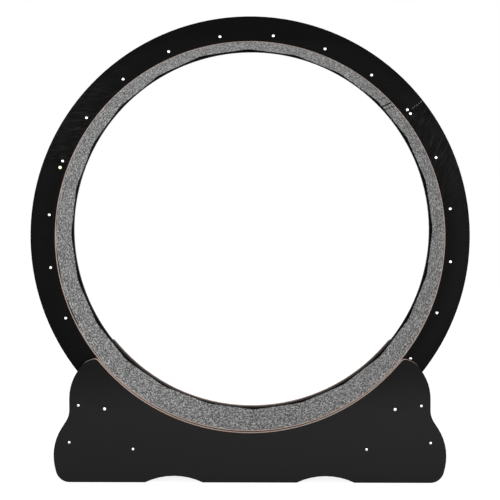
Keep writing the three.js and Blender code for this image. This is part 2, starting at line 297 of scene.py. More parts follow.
class GrainAxis(Enum):
    """The axis of its own object that a board's wood grain runs along."""

    X = (0.08, 1.0, 1.0)
    Y = (1.0, 0.08, 1.0)


@dataclass(frozen=True)
class Laminate(Finish):
    """Black foil with a printed and embossed wood grain.

    The grain shows most near the end of a board that its streaks_from and streaks_to name.
    """

    colour: Colour
    streak_colour: Colour
    grain: GrainAxis = GrainAxis.X
    streaks_from: float = -1.0
    streaks_to: float = -0.5
    turn: float = 0.0
    roughness: float = 0.42
    specular: float = 0.03

    def draw(self, graph: Graph) -> None:
        """Long streaks and short pores along the grain, in colour, gloss and relief."""
        place = graph.place(self.turn)
        along = graph.parts(place)[0 if self.grain is GrainAxis.X else 1]
        drawn_out = graph.stretched(place, self.grain.value)
        drift = graph.noise(graph.stretched(place, (3.0, 3.0, 3.0)), 1.0) * (6 * MM)
        bent = graph.add(
            "ShaderNodeVectorMath",
            {"operation": "ADD"},
            {0: drawn_out, 1: graph.vector(0.0, drift, drift)},
        )
        streaks = graph.noise(bent, 640.0, 3.0, 0.6)
        pores = graph.noise(drawn_out, 900.0, 2.0, 0.6)
        shown = along.rise(self.streaks_from, self.streaks_to)
        line = streaks.rise(0.48, 0.66) * (0.10 + 0.90 * shown)
        pore = pores.rise(0.55, 0.70)
        colour = graph.mix((line * 0.85 + pore * 0.10).clamped(), self.colour, self.streak_colour)
        relief = line * 0.6 + pore * 0.4
        graph.surface(
            Base_Color=colour,
            Roughness=(self.roughness + 0.12 * relief).clamped(),
            Specular_Ior_Level=self.specular,
            Normal=graph.bump(relief, 0.06 * MM),
        )


@dataclass(frozen=True)
class PlainLaminate(Finish):
    """Smooth black foil with painted shade: a little lighter round the middle of a plate than at
    its ears.
    """

    colour: Colour
    painted_shade_colour: Colour
    low: float
    high: float
    roughness: float = 0.5
    specular: float = 0.03

    def draw(self, graph: Graph) -> None:
        """A tone that painted shade darkens towards the top, with slight clouds and a fine
        orange-peel texture.
        """
        place = graph.place()
        height = graph.parts(place)[2]
        clouds = graph.noise(place, 6.0, 3.0)
        # painted shade: the colour darkens with height towards the ears; the clouds are random tone
        painted_shade_and_clouds = height.rise(self.low, self.high) * 0.9 + clouds * 0.2
        peel = graph.noise(place, 1400.0, 1.0)
        graph.surface(
            Base_Color=graph.mix(painted_shade_and_clouds.clamped(), self.colour, self.painted_shade_colour),
            Roughness=self.roughness + 0.08 * peel,
            Specular_Ior_Level=self.specular,
            Normal=graph.bump(peel, 0.015 * MM),
        )


@dataclass(frozen=True)
class BareBoardEdge(Finish):
    """The sawn edge of a fibre board, with its fine fibres and denser skins."""

    colour: Colour
    fibre_colour: Colour
    roughness: float = 0.75

    def draw(self, graph: Graph) -> None:
        """Fibre specks and slow changes of tone."""
        place = graph.place()
        specks = graph.noise(place, 1300.0, 3.0, 0.7)
        graph.surface(
            Base_Color=self._tone(graph, place, specks),
            Roughness=self.roughness + 0.1 * specks,
            Specular_Ior_Level=0.2,
            Normal=graph.bump(specks, 0.08 * MM),
        )

    def _tone(self, graph: Graph, place: Wire, specks: Wire) -> Wire:
        """The colour of the fibres at a place."""
        clouds = graph.noise(place, 35.0, 2.0)
        share = specks.rise(0.35, 0.75) * 0.55 + clouds.rise(0.3, 0.7) * 0.35
        return graph.mix(share.clamped(), self.colour, self.fibre_colour)


@dataclass(frozen=True)
class RimEdge(BareBoardEdge):
    """A rim's sawn edges: bare all round it, and stained in its joints but for their outer ends.

    The rim goes round its object's own Y.
    """

    stain: Colour = (0.004, 0.004, 0.004, 1.0)
    inner_edge: float = 444.2 * MM
    stain_end: float = 490.0 * MM

    def _tone(self, graph: Graph, place: Wire, specks: Wire) -> Wire:
        """The colour of the fibres, with the stain over it between two radii."""
        upright = graph.stretched(place, (1.0, 0.0, 1.0))
        radius = graph.add("ShaderNodeVectorMath", {"operation": "LENGTH"}, {0: upright}, "Value")
        inside = radius.rise(self.inner_edge + 0.8 * MM, self.inner_edge + 1.6 * MM)
        stained = inside * radius.rise(self.stain_end, self.stain_end - 6 * MM)
        return graph.mix(stained, super()._tone(graph, place, specks), self.stain)


@dataclass(frozen=True)
class HeatherCarpet(Finish):
    """Low loop pile, spun from light, middle and dark grey yarn.

    The runner goes round its object's own Y, and its ends meet on the side that the turned -X
    points to.
    """

    dark: Colour
    middle: Colour
    light: Colour
    turn: float = 0.0
    radius: float = 0.45
    tuft: float = 2.3 * MM

    def draw(self, graph: Graph) -> None:
        """Each tuft has its own tone, and groups of them share a lighter or darker cast."""
        x, y, z = graph.parts(graph.place(self.turn))
        laid_flat = graph.vector(z.direction(x) * self.radius, y, 0.0)
        rows = graph.stretched(laid_flat, (1.0, 0.28, 1.0))
        tufts = graph.cells(rows, 1.0 / self.tuft)
        yarn = graph.parts(graph.cells(rows, 1.0 / self.tuft, "Color"))[0]
        patches = graph.noise(rows, 180.0, 2.0, 0.6)
        tone = (yarn * 0.95 + patches * 1.8 - 0.91).clamped()
        shade = graph.mix((tone * 2.0).clamped(), self.dark, self.middle)
        colour = graph.mix((tone * 2.0 - 1.0).clamped(), shade, self.light)
        fuzz = graph.noise(laid_flat, 1500.0, 2.0, 0.7)
        relief = (1.0 - tufts).clamped() * 0.75 + fuzz * 0.25
        graph.surface(
            Base_Color=colour,
            Roughness=0.95,
            Specular_Ior_Level=0.1,
            Sheen_Weight=0.12,
            Normal=graph.bump(relief, 0.7 * MM),
        )


@dataclass(frozen=True)
class Texture:
    """A fine random pattern, and how strongly it shows.

    With no stretch the pattern is as long as it is wide. Its soft levels are cut off below
    and above the two levels of its contrast, if it has one.
    """

    scale: float
    detail: float = 2.0
    rough: float = 0.5
    strength: float = 1.0
    stretch: Triple | None = None
    contrast: tuple[float, float] | None = None

    def draw(self, graph: Graph) -> Wire:
        """The pattern's nodes, before its strength."""
        place = graph.place()
        place = graph.stretched(place, self.stretch) if self.stretch else place
        pattern = graph.noise(place, self.scale, self.detail, self.rough)
        return pattern.rise(*self.contrast) if self.contrast else pattern


@dataclass(frozen=True)
class Grained(Finish):
    """A finish with one texture in its tone and one in its gloss and relief."""

    colour: Colour
    other_colour: Colour
    tone: Texture
    relief: Texture
    roughness: float
    depth: float
    constants: tuple[tuple[str, float], ...] = ()

    def draw(self, graph: Graph) -> None:
        """Changes from one colour to the other, and a gloss that follows the relief."""
        share = self.tone.draw(graph) * self.tone.strength
        relief = self.relief.draw(graph)
        graph.surface(
            Base_Color=graph.mix(share, self.colour, self.other_colour),
            Roughness=self.roughness + self.relief.strength * relief,
            Normal=graph.bump(relief, self.depth),
            **dict(self.constants),
        )


@dataclass(frozen=True)
class HookTape(Finish):
    """Woven nylon tape, with rows of small hooks."""

    colour: Colour
    hook_shine: float = 2.2

    def draw(self, graph: Graph) -> None:
        """Dots for the hooks, lighter at their tops as a painted highlight, on a matt ground."""
        hooks = graph.cells(graph.place(), 900.0)
        # painted highlight: each hook's middle is drawn brighter than the tape
        painted_highlight = shaded(self.colour, self.hook_shine)
        graph.surface(
            Base_Color=graph.mix(hooks.rise(0.2, 0.7), painted_highlight, self.colour),
            Roughness=0.7,
            Specular_Ior_Level=0.3,
            Normal=graph.bump(1.0 - hooks, 0.4 * MM),
        )


@dataclass(frozen=True)
class StudioFloor(Finish):
    """A pale floor that looks white to the eye and in reflections, and keeps soft shadows."""

    glow: float = 0.86
    seen_share: float = 0.34
    bounce: Colour = (0.85, 0.85, 0.85, 1.0)

    def draw(self, graph: Graph) -> None:
        """One shader for rays that look at the floor, another for the light that it gives off."""
        seen = graph.looking()
        tone = (self.seen_share,) * 3 + (1.0,)
        lit = graph.add("ShaderNodeBsdfDiffuse", None, {"Color": tone})
        glow = graph.add("ShaderNodeEmission", None, {"Color": grey(255), "Strength": self.glow})
        both = graph.add("ShaderNodeAddShader", None, {0: lit, 1: glow})
        plain = graph.add("ShaderNodeBsdfDiffuse", None, {"Color": self.bounce})
        graph.finish(graph.add("ShaderNodeMixShader", None, {0: seen, 1: plain, 2: both}))


RIM_BLACK = grey(8)
RIM_STREAK = grey(33)
PLATE_BLACK = grey(34)
# the darker colour of the plates' painted shade up at their ears
PLATE_EAR_PAINTED_SHADE = grey(22)
BARE_EDGE = srgb(206, 183, 172)
BARE_EDGE_FIBRE = srgb(152, 130, 119)
NYLON_WHITE = srgb(222, 220, 212)
SEAL_BLACK = grey(22)

DECK_LAMINATE = Laminate("deck_laminate", RIM_BLACK, RIM_STREAK, GrainAxis.Y, -0.2, 0.2)
PLATE_LAMINATE = PlainLaminate("plate_laminate", PLATE_BLACK, PLATE_EAR_PAINTED_SHADE, 0.16, 0.27)
BOARD_EDGE = BareBoardEdge("bare_board_edge", BARE_EDGE, BARE_EDGE_FIBRE)
RIM_EDGE = RimEdge("rim_edge", BARE_EDGE, BARE_EDGE_FIBRE)
STAINED_EDGE = BareBoardEdge("stained_board_edge", grey(9), grey(5))
CARPET = HeatherCarpet("heather_carpet", grey(26), grey(116), grey(216))
HOOK_TAPE = HookTape("hook_tape", grey(16))
BINDING = Grained(
    "edge_binding",
    grey(14),
    grey(40),
    tone=Texture(900.0, 3.0, 0.6, strength=0.6, contrast=(0.45, 0.8)),
    relief=Texture(900.0, 3.0, 0.6, strength=0.0),
    roughness=0.85,
    depth=0.2 * MM,
    constants=(("Specular_Ior_Level", 0.15),),
)
NYLON = Grained(
    "roller_nylon",
    NYLON_WHITE,
    shaded(NYLON_WHITE, 0.82),
    tone=Texture(120.0, strength=0.5),
    relief=Texture(2500.0, strength=0.15),
    roughness=0.38,
    depth=0.03 * MM,
    constants=(("Subsurface_Weight", 0.1), ("Subsurface_Scale", 1.0 * MM)),
)
SEAL = Grained(
    "bearing_seal",
    SEAL_BLACK,
    shaded(SEAL_BLACK, 1.8),
    tone=Texture(1200.0, strength=0.5),
    relief=Texture(1200.0, strength=0.2),
    roughness=0.6,
    depth=0.02 * MM,
)
FLOOR = StudioFloor("studio_floor")


def plated(name: str, colour: Colour) -> Grained:
    """Steel under cloudy plating, with scratches too fine to see singly."""
    return Grained(
        name,
        colour,
        shaded(colour, 0.78),
        tone=Texture(260.0, 3.0, strength=0.6),
        relief=Texture(1800.0, strength=0.14, stretch=(1.0, 1.0, 9.0)),
        roughness=0.24,
        depth=0.01 * MM,
        constants=(("Metallic", 1.0),),
    )


STEEL = plated("plated_steel", grey(238))
YELLOW_ZINC = plated("yellow_zinc", srgb(246, 214, 138))


# ---- Shapes ----

Point = tuple[float, float]
Profile = Sequence[tuple[float | Callable[[float], float], float]]


class Shape:
    """The points and faces of one piece, gathered before Blender's mesh is made."""

    def __init__(self) -> None:
        """Starts with nothing."""
        self.points: list[Vector] = []
        self.faces: list[tuple[Sequence[int], int, bool]] = []

    def row(self, points: Iterable[Vector]) -> list[int]:
        """Adds points and returns their numbers."""
        first = len(self.points)
        self.points.extend(points)
        return list(range(first, len(self.points)))

    def bridge(
        self, near: Sequence[int], far: Sequence[int], slot: int = 0, closed: bool = True
    ) -> None:
        """Adds a band of four-sided faces between two rows of as many points.

        Args:
            near: the first row's numbers.
            far: the second row's numbers.
            slot: the material slot of the faces.
            closed: whether the last points join the first ones.
        """
        count = len(near)
        for i in range(count if closed else count - 1):
            k = (i + 1) % count
            self.faces.append(((near[i], near[k], far[k], far[i]), slot, True))

    def skin(self, rows: Sequence[Sequence[int]], slot: int = 0, closed: bool = True) -> None:
        """Bridges each row to the next one."""
        for near, far in zip(rows, rows[1:]):
            self.bridge(near, far, slot, closed)

    def bar(self, rows: Sequence[Sequence[int]]) -> None:
        """Adds a bar through rows that go round its section, with flat ends."""
        self.skin(rows)
        self.cap([rows[0]])
        self.cap([rows[-1]])

    def turn(
        self,
        profile: Profile,
        angles: Sequence[float],
        centre: Point,
        slot: int = 0,
        solid: bool = False,
    ) -> None:
        """Adds a round body about an axis along Y.

        Args:
            profile: each ring's radius, or a function of the angle, and its place along Y.
            angles: where the points of a ring lie.
            centre: the axis, in X and Z.
            slot: the material slot of its faces.
            solid: whether it closes on the axis at both ends. If not, the profile goes once
                round its section.
        """
        rows = []
        for radius, y in profile:
            reach = [radius(angle) if callable(radius) else radius for angle in angles]
            rows.append(self.row(
                Vector((centre[0] + r * cos(angle), y, centre[1] + r * sin(angle)))
                for r, angle in zip(reach, angles)
            ))
        self.skin(rows if solid else [*rows, rows[0]], slot)
        if solid:
            for row, (_, y) in ((rows[0], profile[0]), (rows[-1], profile[-1])):
                self.fan(row, Vector((centre[0], y, centre[1])), slot)

    def cap(self, rows: Sequence[Sequence[int]], slot: int = 0) -> None:
        """Fills a flat face whose outline and holes are rows of points."""
        numbers = [number for row in rows for number in row]
        loops = [[self.points[number] for number in row] for row in rows]
        for triangle in tessellate_polygon(loops):
            self.faces.append((tuple(numbers[i] for i in triangle), slot, False))

    def fan(self, row: Sequence[int], middle: Vector, slot: int = 0) -> None:
        """Closes a round row with triangles to a middle point."""
        centre = self.row([middle])[0]
        for i, number in enumerate(row):
            self.faces.append(((number, row[(i + 1) % len(row)], centre), slot, True))

    def build(
        self, name: str, finishes: Sequence[Finish], place: Matrix = Matrix.Identity(4)
    ) -> Piece:
        """Makes the object.

        Args:
            name: the piece's name.
            finishes: one finish for each material slot.
            place: where the object's own axes stand in the frame. The points are in the
                frame's axes, and are carried over to the object's own.

        Returns:
            The object, linked to the scene.
        """
        mesh = bpy.data.meshes.new(name)
        own = place.inverted()
        points = [tuple(own @ point) for point in self.points]
        mesh.from_pydata(points, [], [face for face, _, _ in self.faces])
        for polygon, (_, slot, smooth) in zip(mesh.polygons, self.faces):
            polygon.material_index = slot
            polygon.use_smooth = smooth
        turned = bmesh.new()
        turned.from_mesh(mesh)
        bmesh.ops.recalc_face_normals(turned, faces=turned.faces)
        turned.to_mesh(mesh)
        turned.free()
        mesh.set_sharp_from_angle(angle=SHARP_ANGLE)
        for finish in finishes:
            mesh.materials.append(finish.material())
        made = linked(name, mesh)
        made.matrix_world = place
        return made


def circle(count: int) -> list[float]:
    """Angles evenly round a full turn."""
    return [tau * i / count for i in range(count)]


def softened(profile: Sequence[Point], radius: float, steps: int = 3) -> list[Point]:
    """A closed profile with each of its corners rounded.

    Args:
        profile: the section's corners, as radius and place along Y.
        radius: the largest rounding, held to under half of a corner's shorter side.
        steps: how many faces make up a rounding.

    Returns:
        The rounded section's points.
    """
    corners = [Vector(point) for point in profile]
    rounded: list[Point] = []
    for i, corner in enumerate(corners):
        before = corners[i - 1] - corner
        after = corners[(i + 1) % len(corners)] - corner
        reach = min(radius, 0.45 * before.length, 0.45 * after.length)
        start = corner + before.normalized() * reach
        end = corner + after.normalized() * reach
        for k in range(steps + 1):
            t = k / steps
            point = start * (1 - t) ** 2 + corner * (2 * t * (1 - t)) + end * t ** 2
            rounded.append((point.x, point.y))
    return rounded


def face_loops(node: Piece) -> list[list[Point]]:
    """The outline of an upright board, and of its holes, read from its node's front face.

    Args:
        node: the board's node in the frame.

    Returns:
        Each closed loop as X and Z of its points, with the board always on its left.
    """
    mesh = bmesh.new()
    mesh.from_mesh(node.data)
    bmesh.ops.remove_doubles(mesh, verts=mesh.verts, dist=MERGE_DISTANCE)
    flat = {face for face in mesh.faces if face.normal.y < -FACING}
    following = {}
    for face in flat:
        for corner in face.loops:
            others = [other for other in corner.edge.link_faces if other is not face]
            if not any(other in flat for other in others):
                following[corner.vert] = corner.link_loop_next.vert
    loops = []
    while following:
        first, current = following.popitem()
        loop = [first]
        while current is not first:
            loop.append(current)
            current = following.pop(current)
        loops.append([(vertex.co.x, vertex.co.z) for vertex in loop])
    mesh.free()
    return loops


def inset(loop: Sequence[Point], distance: float) -> list[Point]:
    """A closed loop moved to its left by a distance, with its corners kept sharp."""
    moved = []
    for i, point in enumerate(loop):
        here = Vector(point)
        before = (here - Vector(loop[i - 1])).normalized()
        after = (Vector(loop[(i + 1) % len(loop)]) - here).normalized()
        left = Vector((-(before.y + after.y), before.x + after.x)).normalized()
        spread = max(0.3, left.dot(Vector((-after.y, after.x))))
        moved.append(tuple(here + left * (distance / spread)))
    return moved


def stand_in(piece: Piece, body: str, slot: str, *nodes: str) -> None:
    """Makes a piece ride on a body and stand for its nodes."""
    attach(piece, body)
    if nodes:
        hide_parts(*nodes)
    log.info("%s rides on %s", piece.name, body)


@dataclass(frozen=True)
class Panel:
    """A flat board that stands in the X-Z plane, cut to its node's outline.

    The faces have one finish and the sawn edges another. The faces' foil is pressed over the
    slightly rounded arris between them.
    """

    node: Piece
    face: Finish
    edge: Finish
    arris: float = 0.5 * MM
    steps: int = 2

    def build(self, body: str, slot: str, place: Matrix = Matrix.Identity(4)) -> None:
        """Makes the board and lets it stand for its node.

        Args:
            body: the body that it rides on.
            slot: the name of its material slot; not used.
            place: where the board's own axes stand in the frame.
        """
        name = self.node.name
        low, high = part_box(name)
        arc = [radians(90) * k / self.steps for k in range(self.steps + 1)]
        near = [
            (self.arris * (1 - sin(a)), low.y + self.arris * (1 - cos(a))) for a in arc
        ]
        far = [(shift, low.y + high.y - y) for shift, y in reversed(near)]
        shape = Shape()
        first_rows, last_rows = [], []
        for loop in face_loops(self.node):
            rows = [
                shape.row(Vector((x, y, z)) for x, z in inset(loop, shift))
                for shift, y in near + far
            ]
            for number, (lower, upper) in enumerate(zip(rows, rows[1:])):
                shape.bridge(lower, upper, 1 if number == self.steps else 0)
            first_rows.append(rows[0])
            last_rows.append(rows[-1])
        shape.cap(first_rows)
        shape.cap(last_rows)
        made = shape.build(f"{name}_board", [self.face, self.edge], place)
        stand_in(made, body, slot, name)


@dataclass(frozen=True)
class PlainBoards:
    """Straight boards whose nodes already have the right shape, and stay."""

    nodes: dict[str, Piece]
    arris: float = 0.6 * MM

    def dress(self, name: str, face: Finish, edge: Finish | None = None) -> None:
        """Gives a board its finishes and rounds its arrises.

        Args:
            name: the board's node.
            face: the finish of the board's largest faces.
            edge: the finish of its sawn edges and ends, if it is another one.
        """
        board = self.nodes[name]
        board.data.materials.clear()
        board.data.materials.append(face.material())
        if edge is not None:
            board.data.materials.append(edge.material())
            widest = max(polygon.area for polygon in board.data.polygons)
            for polygon in board.data.polygons:
                polygon.material_index = 0 if polygon.area > 0.9 * widest else 1
        weld = board.modifiers.new("weld", "WELD")
        weld.merge_threshold = MERGE_DISTANCE
        bevel = board.modifiers.new("arris", "BEVEL")
        bevel.width = self.arris
        bevel.segments = 2
        bevel.limit_method = "ANGLE"
        log.info("%s keeps its own mesh", name)


# ---- Screws and bolts ----


@dataclass(frozen=True)
class CrossRecess:
    """The cross-shaped recess of a screw's head."""

    reach: float
    half_width: float
    depth: float

    def angles(self, start: float) -> list[float]:
        """The angles that the recess and a round head share, corners of the cross among them."""
        corner = atan2(self.half_width, self.reach)
        notch = radians(45)
        steps = [-notch, -(notch + corner) / 2, -corner, 0.0, corner, (notch + corner) / 2]
        return [start + quarter * pi / 2 + step for quarter in range(4) for step in steps]

    def edge(self, start: float, share: float = 1.0) -> Callable[[float], float]:
        """How far the cross reaches at each angle, drawn in by a share."""

        def reach_at(angle: float) -> float:
            """The nearer of an arm's end and its side."""
            turn = (angle - start + pi / 4) % (pi / 2) - pi / 4
            on_end = self.reach / cos(turn)
            on_side = self.half_width / max(abs(sin(turn)), 1e-6)
            return share * min(on_end, on_side)

        return reach_at


@dataclass(frozen=True)
class DomedHead:
    """A low domed head with a cross recess. The dome's points are shares of its two sizes."""

    radius: float
    height: float
    dome: tuple[Point, ...]
    recess: CrossRecess
    recess_taper: float = 0.7

    def profile(self, base: float, out: float, turn: float) -> list[tuple[Any, float]]:
        """The head's rings, from the face that it stands on to the bottom of its recess.

        Args:
            base: the face's place along Y.
            out: -1 for a head that looks towards -Y, and 1 for +Y.
            turn: how far the recess is turned.

        Returns:
            The radius and the place along Y of each ring.
        """
        top = base + out * self.height
        dome = [(x * self.radius, base + out * y * self.height) for x, y in self.dome]
        return [
            (self.radius, base),
            *dome,
            (self.recess.edge(turn), top),
            (self.recess.edge(turn, self.recess_taper), top - out * self.recess.depth),
        ]


@dataclass(frozen=True)
class WoodScrew:
    """A screw whose domed head stands on a board's face."""

    head_radius: float = 3.2 * MM
    head_height: float = 1.1 * MM
    dome: tuple[Point, ...] = ((1.0, 0.35), (0.93, 0.72), (0.78, 0.93))
    recess: CrossRecess = CrossRecess(1.8 * MM, 0.5 * MM, 0.9 * MM)
    shank_radius: float = 1.9 * MM
    length: float = 38 * MM
    tip_length: float = 5 * MM
    tip_share: float = 0.3
    # how many bands in the middle of the head carry the painted highlight
    painted_highlight_bands: int = 2

    def add(
        self, shape: Shape, x: float, face: float, z: float, turn: float, outer_slot: int = 0
    ) -> None:
        """Adds a screw to a shape.

        Args:
            shape: what it is added to.
            x: its place along X.
            face: the board's face that it is driven into, on the -Y or the +Y side.
            z: its height.
            turn: how far its recess is turned.
            outer_slot: the material slot of all but the middle of its head, which takes slot 0 as a
                painted highlight.
        """
        out = copysign(1.0, face)
        tip = face - out * self.length
        head = DomedHead(self.head_radius, self.head_height, self.dome, self.recess)
        profile = [
            (self.tip_share * self.shank_radius, tip),
            (self.shank_radius, tip + out * self.tip_length),
            (self.shank_radius, face),
            *head.profile(face, out, turn),
        ]
        first_face = len(shape.faces)
        angles = self.recess.angles(turn)
        shape.turn(profile, angles, (x, z), outer_slot, solid=True)
        # painted highlight: the middle bands of the head take slot 0, bright steel, to stand for
        # the shine on the dome
        first_highlight_face = first_face + (len(profile) - 1 - self.painted_highlight_bands) * len(angles)
        for number in range(first_highlight_face, first_highlight_face + self.painted_highlight_bands * len(angles)):
            corners, _, smooth = shape.faces[number]
            shape.faces[number] = (corners, 0, smooth)


def block(low: float, high: float, near: float, far: float) -> list[Point]:
    """The corners of a square section, between two radii and two places along Y."""
    return [(low, near), (high, near), (high, far), (low, far)]


@dataclass(frozen=True)
class GuideRoller:
    """A grooved nylon roller on its bearing, with its bolt, its spacer and its nut.

    The profiles of its parts run outwards from the wheel's middle, and are mirrored at the
    front.
    """

    corner: str
    body: str
    centre: Point
    side: int
    groove_radius: float = 10.4 * MM
    flange: float = 2.5 * MM
    flange_lip: float = 1.2 * MM
    flange_slope: float = 1.0 * MM
    hub: float = 1.6 * MM
    dish: float = 0.9 * MM
    flange_rounding: float = 0.5 * MM
    bearing_radius: float = 6.5 * MM
    bearing_gap: float = 0.1 * MM
    bolt_gap: float = 2.6 * MM
    race: float = 0.85 * MM
    race_rounding: float = 0.2 * MM
    shield_rounding: float = 0.15 * MM
    shield_gap: float = 0.05 * MM
    shield_depth: float = 0.35 * MM
    shank: float = 2.45 * MM
    end_share: float = 0.8
    thread_depth: float = 0.4 * MM
    thread_pitch: float = 0.8 * MM
    thread_past_nut: float = 2 * MM
    thread_steps: int = 5
    run_out: float = 0.5 * MM
    head_height: float = 1.2 * MM
    head_turn: float = radians(20)
    dome: tuple[Point, ...] = ((1.0, 0.4), (0.9, 0.8), (0.72, 0.97))
    recess: CrossRecess = CrossRecess(2.0 * MM, 0.5 * MM, 0.8 * MM)
    spacer_bore: float = 2.8 * MM
    spacer_rounding: float = 0.35 * MM
    nut_bore: float = 2.55 * MM
    bore_chamfer: float = 0.4 * MM
    nut_chamfer: float = 0.7 * MM
    nut_swell: float = 0.45 * MM
    nut_swell_share: float = 0.6
    roller_sides: int = 96
    bearing_sides: int = 64
    spacer_sides: int = 48
    nut_sides: int = 72

    def build(self) -> None:
        """Makes the roller and its bearing, and then the parts that stand still."""
        self._roller()
        self._bearing()
        self._bolt()
        self._spacer()
        self._nut()

    def _box(self, part: str) -> tuple[float, float, float, float]:
        """How far out a part starts and ends, and half its height and half its width."""
        low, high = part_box(f"{self.corner}_{part}")
        inner, outer = sorted((abs(low.y), abs(high.y)))
        return inner, outer, (high.z - low.z) / 2, (high.x - low.x) / 2

    def _turn(self, shape: Shape, profile: Profile, angles: Sequence[float], **how: Any) -> None:
        """Adds a body about the bolt's line, on the roller's own side of the wheel."""
        mirrored = [(radius, self.side * y) for radius, y in profile]
        shape.turn(mirrored, angles, self.centre, **how)

    def _stand_in(
        self, shape: Shape, part: str, slot: str, *finishes: Finish, body: str = "base"
    ) -> None:
        """Builds a part and lets it stand for its node."""
        name = f"{self.corner}_{part}"
        stand_in(shape.build(f"{name}_piece", finishes), body, slot, name)

    def _roller(self) -> None:
        """Two rounded flanges with a groove between them, dished towards the bearing."""
        inner, outer, rim, _ = self._box("roller")
        bore, hub = self.bearing_radius, self.bearing_radius + self.hub
        lip, slope = rim - self.flange_lip, rim - self.flange_lip - self.flange_slope
        half = [
            (bore, inner), (hub, inner), (hub + self.dish, inner + self.dish),
            (slope, inner + self.dish), (lip, inner), (rim, inner),
            (rim, inner + self.flange), (self.groove_radius, inner + self.flange),
        ]
        corners = half + [(radius, inner + outer - y) for radius, y in reversed(half)]
        shape = Shape()
        self._turn(shape, softened(corners, self.flange_rounding), circle(self.roller_sides))
        self._stand_in(shape, "roller", "roller_nylon", NYLON, body=self.body)

    def _bearing(self) -> None:
        """Two steel races with a rubber shield between them at each face."""
        inner, outer, _, _ = self._box("bearing")
        outside = self.bearing_radius - self.bearing_gap
        angles = circle(self.bearing_sides)
        shape = Shape()
        races = ((self.bolt_gap, self.bolt_gap + self.race), (outside - self.race, outside))
        for low, high in races:
            race = softened(block(low, high, inner, outer), self.race_rounding)
            self._turn(shape, race, angles)
        shield = block(
            races[0][1] + self.shield_gap,
            races[1][0] - self.shield_gap,
            inner + self.shield_depth,
            outer - self.shield_depth,
        )
        self._turn(shape, softened(shield, self.shield_rounding), angles, slot=1)
        self._stand_in(shape, "bearing", "bright_steel", STEEL, SEAL, body=self.body)

    def _bolt(self) -> None:
        """A domed head outside the plate, a plain shank and a thread at its inner end."""
        inner, outer, radius, _ = self._box("bolt")
        head = DomedHead(radius, self.head_height, self.dome, self.recess)
        base = outer - self.head_height
        thread_start = inner + self.run_out
        thread_end = self._box("nut")[1] + self.thread_past_nut
        step = self.thread_pitch / self.thread_steps
        count = int((thread_end - inner - self.run_out) / step)
        profile = [(self.end_share * self.shank, inner)]
        turns = [thread_start + k * step for k in range(count)]
        profile += [(self._thread(y), y) for y in turns]
        profile += [
            (self.shank, thread_end + self.run_out),
            (self.shank, base),
            *head.profile(base, 1.0, self.head_turn),
        ]
        shape = Shape()
        self._turn(shape, profile, self.recess.angles(self.head_turn), solid=True)
        self._stand_in(shape, "bolt", "bright_steel", STEEL)

    def _thread(self, y: float) -> Callable[[float], float]:
        """The radius of the screw thread at each angle, at a place along Y."""

        def radius_at(angle: float) -> float:
            """The thread's radius at an angle."""
            phase = (y / self.thread_pitch - angle / tau) % 1.0
            return self.shank - self.thread_depth * abs(2 * phase - 1)

        return radius_at

    def _spacer(self) -> None:
        """A plain sleeve with eased ends."""
        inner, outer, radius, _ = self._box("spacer")
        shape = Shape()
        section = softened(block(self.spacer_bore, radius, inner, outer), self.spacer_rounding)
        self._turn(shape, section, circle(self.spacer_sides))
        self._stand_in(shape, "spacer", "bright_steel", STEEL)

    def _nut(self) -> None:
        """A hexagon nut, with its corners turned off at both faces."""
        inner, outer, _, corner = self._box("nut")
        sixth = radians(60)
        flat = corner * cos(sixth / 2)

        def hexagon(limit: float) -> Callable[[float], float]:
            """How far the hexagon reaches at each angle, held to a limit."""
            return lambda angle: min(
                limit, flat / cos((angle + sixth / 2) % sixth - sixth / 2)
            )

        half = [
            (self.nut_bore, inner + self.bore_chamfer),
            (self.nut_bore + self.bore_chamfer, inner),
            (hexagon(flat), inner),
            (hexagon(flat + self.nut_swell), inner + self.nut_swell_share * self.nut_chamfer),
            (hexagon(corner), inner + self.nut_chamfer),
        ]
        shape = Shape()
        profile = half + [(radius, inner + outer - y) for radius, y in reversed(half)]
        self._turn(shape, profile, circle(self.nut_sides))
        self._stand_in(shape, "nut", "bright_steel", STEEL)


# ---- The ring ----


